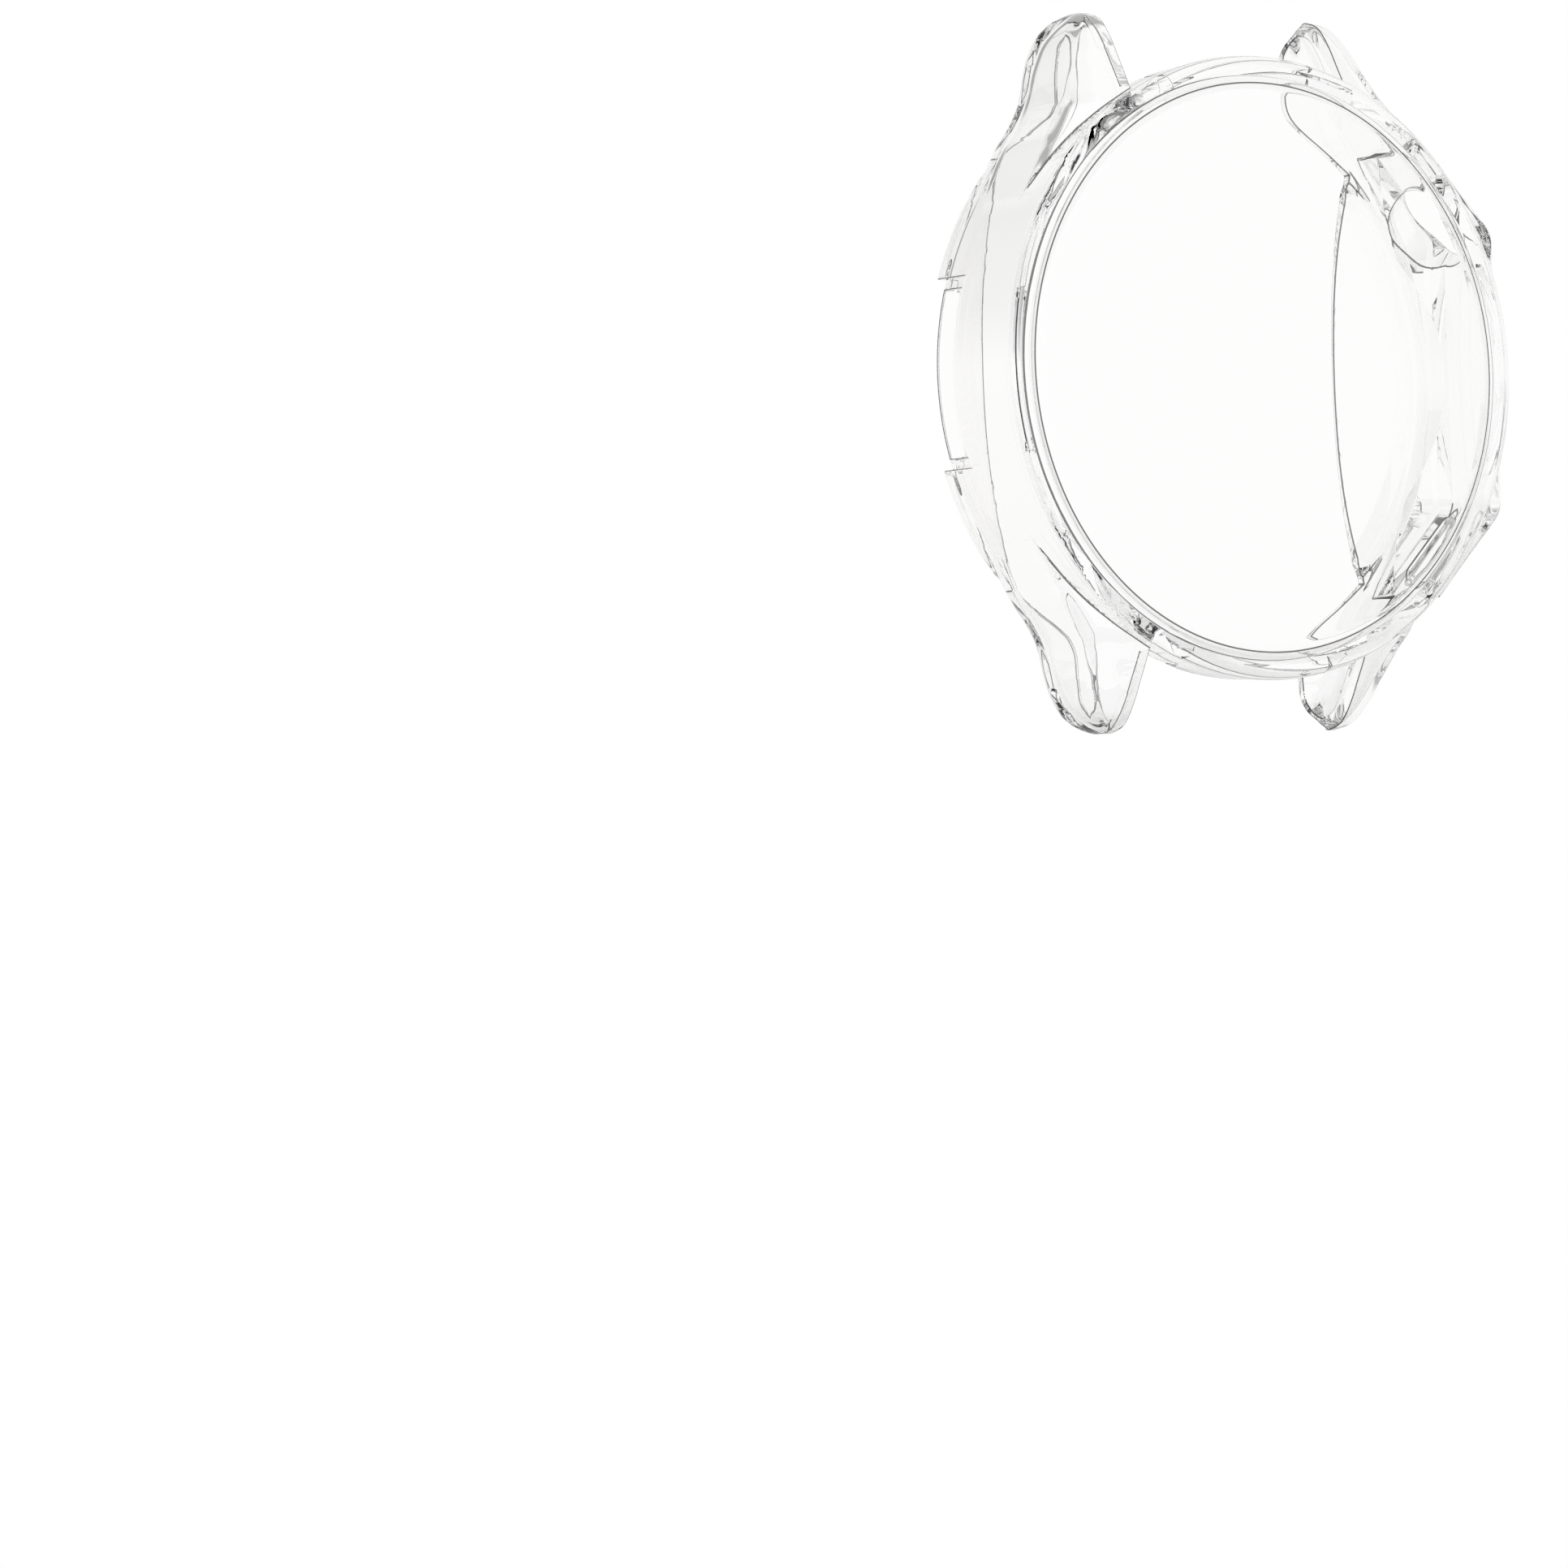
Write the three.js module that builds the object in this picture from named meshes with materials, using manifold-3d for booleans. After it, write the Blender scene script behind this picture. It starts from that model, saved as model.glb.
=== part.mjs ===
// Clear bumper case for a round smartwatch, in millimetres.
// It is drawn lying on its back: X to 3 o'clock, Y to 12 o'clock, Z out through the window,
// with the inner face of the window on the plane Z = 0. The last lines stand it up.
import * as THREE from 'three';
import { mergeVertices } from 'three/addons/utils/BufferGeometryUtils.js';
import Module from 'manifold-3d';

const wasm = await Module();
wasm.setup();

// Fit around the round watch body, and the seams between neighbours
const watchRadius = 23.5;
const seam = 0.3;

// Side walls
const wallThickness = 1.1;
const wallTopRound = 0.5;
const wallCornerDepth = 11.45;
const wallCornerRun = 0.7;
const hollowCornerDepth = 10.45;
const hollowCornerRun = 0.6;

// Bezel ring with its round bead, and the window inside it
const beadOverhang = 0.2;
const beadRadius = 1.05;
const ringWidth = 1.85;
const ringUnderside = 0.6;
const windowThickness = 0.9;
const windowCurve = 0.9;
const windowEdgeThickness = 0.55;

// Rear lips, part of a shallow dome that rises from the flat rear rim and thins to its edge
const lipReach = 6.2;
const lipRoot = 1.1;
const lipRootDepth = 11.57;
const lipDepth = 13.3;
const lipRootThickness = 0.82;
const lipEdgeThickness = 0.3;
const domeBendShare = 0.45;

// Rear mouth, which narrows in an S-curve to the strap gaps
const strapHalfWidth = 10.85;
const shoulderReach = 0.35;
const shoulderRun = 5.0;
const shoulderAngle = THREE.MathUtils.degToRad(48);
const throatInset = 1.8;
const throatRun = 2.6;

// Lug guards, open towards the strap
const lugLength = 4.0;
const flareAngle = THREE.MathUtils.degToRad(29.2);
const lugRear = 10.8;
const lugWall = 0.95;
const lugFlange = 0.6;
const lugTipDrop = 6.0;
const lugTipLift = 2.3;
const lugRearRound = 1.0;
const lugStationShares = [0, 0.18, 0.36, 0.45, 0.54, 0.62, 0.7, 0.77, 0.84, 0.9, 0.95, 0.98, 1];
const lugFrontSideShares = [1, 0.84, 0.685, 0.605, 0.525, 0.45, 0.39, 0.345, 0.3, 0.255, 0.205, 0.15, 0.08];
const lugRearSideShares = [1, 0.84, 0.68, 0.57, 0.485, 0.44, 0.415, 0.385, 0.335, 0.28, 0.205, 0.145, 0.08];
const lugDropShares = [0, 0, 0, 0, 0.015, 0.125, 0.24, 0.35, 0.455, 0.565, 0.68, 0.8, 1];
const lugLiftShares = [0, 0, 0, 0, 0, 0, 0, 0, 0, 0.05, 0.3, 0.62, 1];
const lugStrapEdgeShares = [1, 1, 1, 1, 1, 1, 1, 1, 0.97, 0.87, 0.69, 0.55, 0.1];
const creaseSideShare = 0.3;
const creaseDepthShare = 0.1;
const sideFrontShare = 0.19;
const sideRearShare = 0.86;
const roundShare = 0.3;
const roundDepthShare = 0.953;
const roundLimitShare = 0.5;

// Rear relief, where the rear rim drops to the lugs
const reliefStart = 2.2;
const reliefTop = 11.6;
const reliefRun = 2.2;
const reliefCurveShare = 0.45;

// Skirts under the ring at 12 and 6 o'clock
const skirtDepth = 3.6;
const skirtRise = 0.2;

// Faceted guard on the 3 o'clock side
const guardRise = 0.2;
const guardCornerAngle = THREE.MathUtils.degToRad(24.6);
const guardFacetAngle = THREE.MathUtils.degToRad(44);
const guardFoot = 9.6;
const guardRound = 0.5;
const guardSeamRun = 3.85;
const guardRootRun = 2.5;

// Crown hole, measured along its facet from the corner
const crownHoleRadius = 3.55;
const crownHoleRun = 2.6;
const crownHoleDepth = 5.6;

// Button cover, a soft cap in the lower facet that bulges out over its pocket
const pocketLength = 8.0;
const pocketWidth = 2.8;
const pocketRun = 4.4;
const pocketDepth = 5.2;
const coverRim = 0.4;
const coverEndMargin = 0.5;
const coverRise = 0.5;
const coverSkin = 0.5;
const coverRound = 0.3;

// Speaker slot on the 9 o'clock side, in a shallow step
const speakerLength = 13.3;
const speakerWidth = 2.4;
const speakerRearMargin = 0.8;
const speakerStep = 0.5;
const speakerStepMargin = 0.9;

// Overrun of every cutting tool
const overrun = 4.0;

// Steps along the curves
const turnSteps = 96;
const curveSteps = 8;
const roundSteps = 3;
const slotSteps = 8;

// Sizes that follow from the ones above
const wallRadius = watchRadius + wallThickness;
const wallTop = ringUnderside + seam;
const ringRadius = wallRadius + beadOverhang;
const ringInner = ringRadius - ringWidth;
const windowRadius = ringInner - seam;
const lipChord = watchRadius - lipReach;
const lipRootRadius = watchRadius - lipRoot;
const mouthShoulder = Math.sqrt((watchRadius + shoulderReach) ** 2 - lipChord ** 2);
const mouthThroat = wallRadius - throatInset;
const lugReach = wallRadius + lugLength;
const flareStart = wallRadius * Math.sin(flareAngle);
const coverLength = pocketLength + coverRim * 2;
const coverOpeningLength = coverLength + seam * 2;
const guardReach = wallRadius + guardRise;
const guardHalfHeight = guardReach * Math.tan(guardCornerAngle);
const guardSeam = guardHalfHeight - guardSeamRun;
const guardFacetLength = pocketRun + coverOpeningLength / 2 + coverEndMargin;
const lugSeam = guardHalfHeight + guardFacetLength * Math.cos(guardFacetAngle);
const speakerDepth = wallCornerDepth - speakerRearMargin - speakerWidth / 2;

const clearPlastic = { color: 0xf4f4f2, roughness: 0.08, metalness: 0.0 };

// Turns a closed geometry into a solid that can be joined and cut
function solidOf(geometry) {
  const bare = geometry.clone();
  bare.deleteAttribute('normal');
  bare.deleteAttribute('uv');
  const merged = mergeVertices(bare);
  const corners = merged.index.array;
  const faces = [];
  for (let i = 0; i < corners.length; i += 3) {
    const [a, b, c] = [corners[i], corners[i + 1], corners[i + 2]];
    if (a !== b && b !== c && c !== a) {
      faces.push(a, b, c);
    }
  }
  const vertProperties = new Float32Array(merged.attributes.position.array);
  return new wasm.Manifold(new wasm.Mesh({ numProp: 3, vertProperties, triVerts: new Uint32Array(faces) }));
}

// Gives a solid its name and the clear material
function piece(name, solid) {
  const mesh = solid.getMesh();
  const geometry = new THREE.BufferGeometry();
  geometry.setAttribute('position', new THREE.BufferAttribute(mesh.vertProperties, mesh.numProp));
  geometry.setIndex(new THREE.BufferAttribute(mesh.triVerts, 1));
  geometry.computeVertexNormals();
  const part = new THREE.Mesh(geometry, new THREE.MeshStandardMaterial(clearPlastic));
  part.name = name;
  return part;
}

// Turns a profile of radius and height once around the axis of the case
function turned(profile) {
  return solidOf(new THREE.LatheGeometry(profile, turnSteps).rotateX(Math.PI / 2));
}

// Pushes a plan outline between two depths behind the window, with rounded edges if asked
function pushed(points, front, rear, round = 0) {
  const geometry = new THREE.ExtrudeGeometry(new THREE.Shape(points), {
    depth: rear - front - round * 2,
    bevelEnabled: round > 0,
    bevelThickness: round,
    bevelSize: round,
    bevelOffset: -round,
    bevelSegments: roundSteps,
  });
  return solidOf(geometry.translate(0, 0, round - rear));
}

// A box between two corners
function block(left, bottom, rear, right, top, front) {
  const box = new THREE.BoxGeometry(right - left, top - bottom, front - rear);
  return solidOf(box.translate((left + right) / 2, (bottom + top) / 2, (rear + front) / 2));
}

// Joins a row of closed sections with equal numbers of points, given as points in space
function lofted(sections) {
  const count = sections[0].length;
  const last = (sections.length - 1) * count;
  const positions = sections.flat().flatMap((point) => [point.x, point.y, point.z]);
  const faces = [];
  for (let start = 0; start < last; start += count) {
    for (let i = 0; i < count; i += 1) {
      const here = start + i;
      const next = start + ((i + 1) % count);
      faces.push(here, here + count, next + count, here, next + count, next);
    }
  }
  for (let i = 1; i < count - 1; i += 1) {
    faces.push(0, i, i + 1);
    faces.push(last, last + i + 1, last + i);
  }
  const geometry = new THREE.BufferGeometry();
  geometry.setAttribute('position', new THREE.Float32BufferAttribute(positions, 3));
  geometry.setIndex(faces);
  return solidOf(geometry);
}

// Round body of the case or its hollow: a wall, a flat rear rim and a shallow dome inside it
function roundBody({ radius, front, topRound, cornerDepth, cornerRun, rootDepth, edgeDepth }) {
  const dome = [];
  for (let step = 0; step <= curveSteps; step += 1) {
    const share = step / curveSteps;
    const rise = (1 - share) * (1 + domeBendShare * share);
    const r = lipChord + (lipRootRadius - lipChord) * share;
    dome.push(new THREE.Vector2(r, (rootDepth - edgeDepth) * rise - rootDepth));
  }
  const rimShare = cornerRun / (radius - lipRootRadius);
  const corner = new THREE.QuadraticBezierCurve(
    new THREE.Vector2(radius - cornerRun, (cornerDepth - rootDepth) * rimShare - cornerDepth),
    new THREE.Vector2(radius, -cornerDepth),
    new THREE.Vector2(radius, cornerRun - cornerDepth),
  );
  return turned([
    new THREE.Vector2(0, -edgeDepth),
    ...dome,
    ...corner.getPoints(roundSteps),
    new THREE.Vector2(radius, -front - topRound),
    new THREE.Vector2(radius - topRound, -front),
    new THREE.Vector2(0, -front),
  ]);
}

// Outside of the round body, set in evenly for a step
function outerBody(inset, front) {
  return roundBody({
    radius: wallRadius - inset,
    front,
    topRound: wallTopRound,
    cornerDepth: wallCornerDepth - inset,
    cornerRun: wallCornerRun,
    rootDepth: lipRootDepth - inset,
    edgeDepth: lipDepth - inset,
  });
}

// Hood over the upper right lug, or its hollow when set in by its walls
function lugHood(inset, rearInset, strapSide) {
  const flareWidth = Math.sqrt(wallRadius * wallRadius - flareStart * flareStart) - strapHalfWidth;
  const sections = lugStationShares.map((station, index) => {
    const y = flareStart + station * (lugReach - inset - flareStart);
    const frontSide = strapHalfWidth + flareWidth * lugFrontSideShares[index] - inset;
    const rearSide = strapHalfWidth + flareWidth * lugRearSideShares[index] - inset;
    const front = wallTop + inset + lugTipDrop * lugDropShares[index];
    const rear = lugRear - rearInset - lugTipLift * lugLiftShares[index];
    const at = (x, depthShare) => new THREE.Vector3(x, y, -front - (rear - front) * depthShare);
    const round = Math.min(lugRearRound, (rearSide - strapSide) * roundLimitShare);
    return [
      at(strapSide, 0),
      at(strapSide, lugStrapEdgeShares[index]),
      at(rearSide - round, 1),
      at(rearSide - round * roundShare, roundDepthShare),
      at(rearSide, sideRearShare),
      at(frontSide, sideFrontShare),
      at(frontSide - (frontSide - strapHalfWidth) * creaseSideShare, creaseDepthShare),
    ];
  });
  return lofted(sections);
}

// Copies of a solid in all four quarters
function inFourQuarters(solid) {
  const top = solid.add(solid.mirror([1, 0, 0]));
  return top.add(top.mirror([0, 1, 0]));
}

// Faceted outline of the 3 o'clock guard, set in by a wall
function guardOutline(inset) {
  const reach = guardReach - inset;
  const half = guardHalfHeight - inset * Math.tan(guardFacetAngle / 2);
  const endX = reach - guardFacetLength * Math.sin(guardFacetAngle);
  const endY = half + guardFacetLength * Math.cos(guardFacetAngle);
  return [
    new THREE.Vector2(endX - guardRootRun, -endY),
    new THREE.Vector2(endX, -endY),
    new THREE.Vector2(reach, -half),
    new THREE.Vector2(reach, half),
    new THREE.Vector2(endX, endY),
    new THREE.Vector2(endX - guardRootRun, endY),
  ];
}

// A round-ended bar that stands across a facet of the guard, between two heights over the facet
function facetBar({ length, width, run, depth, side, from, to, round = 0 }) {
  const straight = (length - width) / 2;
  const shape = new THREE.Shape();
  shape.absarc(straight, 0, width / 2, -Math.PI / 2, Math.PI / 2, false);
  shape.absarc(-straight, 0, width / 2, Math.PI / 2, Math.PI * 1.5, false);
  const geometry = new THREE.ExtrudeGeometry(shape, {
    depth: to - from - round * 2,
    bevelEnabled: round > 0,
    bevelThickness: round,
    bevelSize: round,
    bevelOffset: -round,
    bevelSegments: roundSteps,
    curveSegments: slotSteps,
  });
  geometry.translate(0, 0, round - to);
  geometry.rotateX(Math.PI / 2);
  geometry.rotateZ(side * guardFacetAngle - Math.PI / 2);
  const x = guardReach - run * Math.sin(guardFacetAngle);
  const y = guardHalfHeight + run * Math.cos(guardFacetAngle);
  return solidOf(geometry.translate(x, y * side, -depth));
}

// Rear mouth and strap gaps in one plan outline, drawn for one quarter and mirrored
const mouthEnd = lugReach + overrun;
const mouthCurve = new THREE.CubicBezierCurve(
  new THREE.Vector2(lipChord, mouthShoulder),
  new THREE.Vector2(
    lipChord - shoulderRun * Math.sin(shoulderAngle),
    mouthShoulder + shoulderRun * Math.cos(shoulderAngle),
  ),
  new THREE.Vector2(strapHalfWidth, mouthThroat - throatRun),
  new THREE.Vector2(strapHalfWidth, mouthThroat),
);
const quarter = [...mouthCurve.getPoints(curveSteps), new THREE.Vector2(strapHalfWidth, mouthEnd)];
const mirrored = (x, y) => quarter.map((point) => new THREE.Vector2(point.x * x, point.y * y));
const mouth = [
  ...quarter,
  ...mirrored(-1, 1).reverse(),
  ...mirrored(-1, -1),
  ...mirrored(1, -1).reverse(),
];

// Rear relief over the lugs, seen from the side
const reliefY = mouthShoulder - reliefStart;
const reliefCurve = reliefRun * reliefCurveShare;
const relief = new THREE.Shape();
relief.moveTo(reliefY, lipDepth + overrun);
relief.lineTo(reliefY, reliefTop);
relief.bezierCurveTo(
  reliefY + reliefCurve, reliefTop,
  reliefY + reliefRun - reliefCurve, lugRear,
  reliefY + reliefRun, lugRear,
);
relief.lineTo(lugReach + overrun, lugRear);
relief.lineTo(lugReach + overrun, lipDepth + overrun);
const reliefGeometry = new THREE.ExtrudeGeometry(relief, {
  depth: (lugReach + overrun) * 2,
  bevelEnabled: false,
  curveSegments: curveSteps,
});
reliefGeometry.translate(0, 0, -lugReach - overrun);
reliefGeometry.rotateY(Math.PI / 2);
reliefGeometry.rotateX(-Math.PI / 2);
const reliefCut = solidOf(reliefGeometry);

// One-piece shell behind the ring
const outside = outerBody(0, wallTop)
  .subtract(reliefCut)
  .subtract(reliefCut.mirror([0, 1, 0]))
  .add(inFourQuarters(lugHood(0, 0, strapHalfWidth)))
  .add(pushed(guardOutline(0), wallTop, guardFoot, guardRound));
const roundHollow = roundBody({
  radius: watchRadius,
  front: -overrun,
  topRound: 0,
  cornerDepth: hollowCornerDepth,
  cornerRun: hollowCornerRun,
  rootDepth: lipRootDepth - lipRootThickness,
  edgeDepth: lipDepth - lipEdgeThickness,
});
const hollow = roundHollow
  .add(inFourQuarters(lugHood(lugWall, lugFlange, strapHalfWidth - overrun)))
  .add(pushed(guardOutline(wallThickness), wallTop + wallThickness, guardFoot - wallThickness));
const mouthCut = pushed(mouth, skirtDepth, lipDepth + overrun);

// Speaker slot, with the step round it
const speakerHalf = speakerLength / 2;
const stepHalf = speakerHalf + speakerStepMargin;
const speakerFront = -speakerDepth + speakerWidth / 2;
const speakerRear = -speakerDepth - speakerWidth / 2;
const slotInside = -watchRadius * Math.cos(Math.asin(stepHalf / watchRadius)) + wallThickness;
const speakerSlot = block(-wallRadius - overrun, -speakerHalf, speakerRear, slotInside, speakerHalf, speakerFront);
const stepZone = block(
  -wallRadius - overrun, -stepHalf, -lipDepth,
  slotInside, stepHalf, speakerFront + speakerStepMargin,
);
const speakerStepCut = stepZone.subtract(outerBody(speakerStep, 0));

// Crown hole, and the button cover with the opening that it fills
const crownHole = facetBar({
  length: crownHoleRadius * 2,
  width: crownHoleRadius * 2,
  run: crownHoleRun,
  depth: crownHoleDepth,
  side: 1,
  from: -overrun,
  to: overrun,
});
const coverPlace = { run: pocketRun, depth: pocketDepth, side: -1 };
const coverWidth = pocketWidth + coverRim * 2;
const coverOpening = facetBar({
  ...coverPlace,
  length: coverOpeningLength,
  width: coverWidth + seam * 2,
  from: -overrun,
  to: overrun,
});
const coverBody = facetBar({
  ...coverPlace,
  length: coverLength,
  width: coverWidth,
  from: -wallThickness,
  to: coverRise,
  round: coverRound,
});
const coverPocket = facetBar({
  ...coverPlace,
  length: pocketLength,
  width: pocketWidth,
  from: -overrun,
  to: coverRise - coverSkin,
});
const cover = coverBody.subtract(coverPocket);

const shell = outside
  .subtract(hollow)
  .subtract(mouthCut)
  .subtract(speakerSlot)
  .subtract(speakerStepCut)
  .subtract(crownHole)
  .subtract(coverOpening);

// Zones that divide the shell at its seams
const far = lugReach + overrun;
const deep = -lipDepth - overrun;
const half = seam / 2;
const lipZone = turned([
  new THREE.Vector2(0, deep),
  new THREE.Vector2(lipRootRadius - half, deep),
  new THREE.Vector2(lipRootRadius - half, -wallTop),
  new THREE.Vector2(0, -wallTop),
]);
const rimZone = turned([
  new THREE.Vector2(lipRootRadius + half, deep),
  new THREE.Vector2(far, deep),
  new THREE.Vector2(far, 0),
  new THREE.Vector2(lipRootRadius + half, 0),
  new THREE.Vector2(lipRootRadius + half, deep),
]);
const rim = shell.intersect(rimZone);
const lips = shell.intersect(lipZone);
const lugZone = block(strapHalfWidth, lugSeam + half, deep, far, far, 0);
const lug = rim.intersect(lugZone);
const leftWall = rim.intersect(block(-far, half - lugSeam, deep, 0, lugSeam - half, 0));
const rightWall = rim.intersect(block(0, half - guardSeam, deep, far, guardSeam - half, 0));
const crownGuard = rim.intersect(block(0, guardSeam + half, deep, far, lugSeam - half, 0));
const buttonGuard = rim.intersect(block(0, half - lugSeam, deep, far, -guardSeam - half, 0));
const skirtRing = turned([
  new THREE.Vector2(watchRadius, -skirtDepth),
  new THREE.Vector2(wallRadius + skirtRise, -skirtDepth),
  new THREE.Vector2(wallRadius + skirtRise, -wallTop),
  new THREE.Vector2(watchRadius, -wallTop),
  new THREE.Vector2(watchRadius, -skirtDepth),
]);
const skirt = skirtRing.intersect(
  block(seam - strapHalfWidth, lugSeam + half, deep, strapHalfWidth - seam, far, 0),
);
const rightLip = lips.intersect(block(0, -lugSeam, deep, far, lugSeam, 0));

// Bezel ring
const beadCentre = ringRadius - beadRadius;
const innerRise = Math.acos((ringInner - beadCentre) / beadRadius);
const bead = new THREE.Path();
bead.absarc(beadCentre, 0, beadRadius, 0, innerRise, false);
const ring = turned([
  new THREE.Vector2(ringInner, -ringUnderside),
  new THREE.Vector2(wallRadius, -ringUnderside),
  ...bead.getPoints(curveSteps + roundSteps),
  new THREE.Vector2(ringInner, -ringUnderside),
]);

// Window, which curves down to its edge
const windowFlat = windowRadius - windowCurve;
const windowEdge = (windowThickness - windowEdgeThickness) / 2;
const windowTop = new THREE.QuadraticBezierCurve(
  new THREE.Vector2(windowRadius, windowThickness - windowEdge * 2),
  new THREE.Vector2(windowRadius - windowEdge, windowThickness),
  new THREE.Vector2(windowFlat, windowThickness),
);
const window = turned([
  new THREE.Vector2(0, 0),
  new THREE.Vector2(windowRadius, 0),
  ...windowTop.getPoints(roundSteps),
  new THREE.Vector2(0, windowThickness),
]);

const model = new THREE.Group();
model.add(
  piece('front_window', window),
  piece('bezel_ring', ring),
  piece('side_wall_left', leftWall),
  piece('side_wall_right', rightWall),
  piece('crown_guard', crownGuard),
  piece('button_guard', buttonGuard),
  piece('button_cover', cover),
  piece('lug_guard_upper_right', lug),
  piece('lug_guard_upper_left', lug.mirror([1, 0, 0])),
  piece('lug_guard_lower_right', lug.mirror([0, 1, 0])),
  piece('lug_guard_lower_left', lug.mirror([1, 0, 0]).mirror([0, 1, 0])),
  piece('rear_lip_right', rightLip),
  piece('rear_lip_left', rightLip.mirror([1, 0, 0])),
  piece('strap_skirt_top', skirt),
  piece('strap_skirt_bottom', skirt.mirror([0, 1, 0])),
);

// Stands the case up, window to the front and 12 o'clock at the top
model.rotation.x = Math.PI / 2;

export default model;
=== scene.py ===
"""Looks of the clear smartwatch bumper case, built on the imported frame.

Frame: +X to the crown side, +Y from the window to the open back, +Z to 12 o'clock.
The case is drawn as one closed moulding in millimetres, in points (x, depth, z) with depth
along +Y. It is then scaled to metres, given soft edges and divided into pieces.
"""
import math

import bmesh
import bpy
import numpy as np
from mathutils import Matrix, Vector


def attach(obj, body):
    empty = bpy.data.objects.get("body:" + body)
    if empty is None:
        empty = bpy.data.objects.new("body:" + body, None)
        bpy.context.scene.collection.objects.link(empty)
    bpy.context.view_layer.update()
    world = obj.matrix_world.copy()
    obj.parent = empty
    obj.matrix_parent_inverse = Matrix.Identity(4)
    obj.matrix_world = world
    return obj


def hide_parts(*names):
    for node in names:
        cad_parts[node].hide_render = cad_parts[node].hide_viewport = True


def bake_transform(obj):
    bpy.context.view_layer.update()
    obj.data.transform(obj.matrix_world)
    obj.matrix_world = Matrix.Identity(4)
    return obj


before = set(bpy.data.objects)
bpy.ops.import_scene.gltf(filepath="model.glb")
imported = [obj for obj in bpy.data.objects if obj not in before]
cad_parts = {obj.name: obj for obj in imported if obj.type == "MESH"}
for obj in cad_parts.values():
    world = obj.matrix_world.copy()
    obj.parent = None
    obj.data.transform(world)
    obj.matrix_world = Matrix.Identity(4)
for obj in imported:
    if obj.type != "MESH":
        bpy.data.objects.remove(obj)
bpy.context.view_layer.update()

MM = 0.001

# Round body: radii, and depths behind the window's inner face. A corner is (depth, rounding).
WATCH_R = 23.5
WALL = 1.1
WALL_R = WATCH_R + WALL
WALL_TOP = 0.9
WALL_CORNER = (11.45, 0.7)
HOLLOW_CORNER = (10.45, 0.6)
CORNER_STEPS = 10
TURN_STEPS = 288

# Ring: a bead, drawn from an angle behind its widest point to its inner foot at (radius, depth).
# It laps over the wall, and its seat keeps just off the watch's radius, so that no faces coincide.
RING_R = 24.8
RING_INNER = 22.95
BEAD_R = 1.05
BEAD_START = -0.6
BEAD_POINTS = 20
BEAD_FOOT = (22.6, -0.55)
BEAD_OVERLAP = 0.2
SEAT_GAP = 0.01

# Window: thickness, and radii where it bends and is flat
WINDOW_T = 0.9
WINDOW_BEND_R = 22.4
WINDOW_FLAT_R = 21.7
WINDOW_STEPS = 4

# Rear lips. The lips' straight edges lie at 17.3 in the solids, which take them as they show:
# the window bends the lines of sight sideways, and here that is corrected.
LIP_CHORD = 17.06
LIP_ROOT_R = 22.4
LIP_ROOT = 11.57
LIP_ROOT_T = 0.82
LIP_DEPTH = 13.3
LIP_EDGE = 0.3
DOME_BEND = 0.45
DOME_STEPS = 16

# Rear mouth: from the ends of the lips' edges it curves in to the strap's width
STRAP_HALF = 10.85
SHOULDER_R = WATCH_R + 0.35
SHOULDER = math.sqrt(SHOULDER_R ** 2 - LIP_CHORD ** 2)
SHOULDER_RUN = 5.0
SHOULDER_ANGLE = math.radians(48)
THROAT = WALL_R - 1.8
THROAT_RUN = 2.6
MOUTH_STEPS = 28
SKIRT = 3.6

# Relief: the rear rim drops in a soft step to the height of the lug guards
RELIEF_START = SHOULDER - 2.2
RELIEF_TOP = 11.6
RELIEF_RUN = 2.2
RELIEF_CURVE = RELIEF_RUN * 0.45
RELIEF_STEPS = 24

# Lug guards: reach, rear depth, wall thicknesses, and how far the front drops and the rear lifts
# towards the tip. The tables give shares of these, and of the flare beside the strap, by station.
# A station is a share of the guard's length, and the sections lie closer together near its tip.
LUG_REACH = WALL_R + 4.0
FLARE_START = WALL_R * math.sin(math.radians(29.2))
LUG_REAR = 10.8
LUG_WALL = 0.95
LUG_FLANGE = 0.6
LUG_DROP = 6.0
LUG_LIFT = 2.3
STATIONS = [0, 0.18, 0.36, 0.45, 0.54, 0.62, 0.7, 0.77, 0.84, 0.9, 0.95, 0.98, 1]
FRONT_SIDE = [1, 0.84, 0.685, 0.605, 0.525, 0.45, 0.39, 0.345, 0.3, 0.255, 0.205, 0.15, 0.08]
REAR_SIDE = [1, 0.84, 0.68, 0.57, 0.485, 0.44, 0.415, 0.385, 0.335, 0.28, 0.205, 0.145, 0.08]
DROP = [0, 0, 0, 0, 0.015, 0.125, 0.24, 0.35, 0.455, 0.565, 0.68, 0.8, 1]
LIFT = [0, 0, 0, 0, 0, 0, 0, 0, 0, 0.05, 0.3, 0.62, 1]
STRAP_EDGE = [1, 1, 1, 1, 1, 1, 1, 1, 0.97, 0.87, 0.69, 0.55, 0.1]
HOOD_STEPS = 56
HOOD_SPACING = 0.85

# Section of a lug guard: roundings, and shares of its height and width where its corners lie
REAR_ROUNDING = 1.4
REAR_ROUNDING_SHARE = 0.45
SIDE_HEIGHT, SIDE_ROUNDING = 0.19, 0.7
FRONT_WIDTH, FRONT_HEIGHT, FRONT_ROUNDING = 0.3, 0.1, 0.8

# Hollow of a lug guard: it opens past the strap's side, and its wall is thicker where it starts
POCKET_OPEN = 4
POCKET_START_INSET = 0.5
POCKET_START_RUN = 0.36

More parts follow.
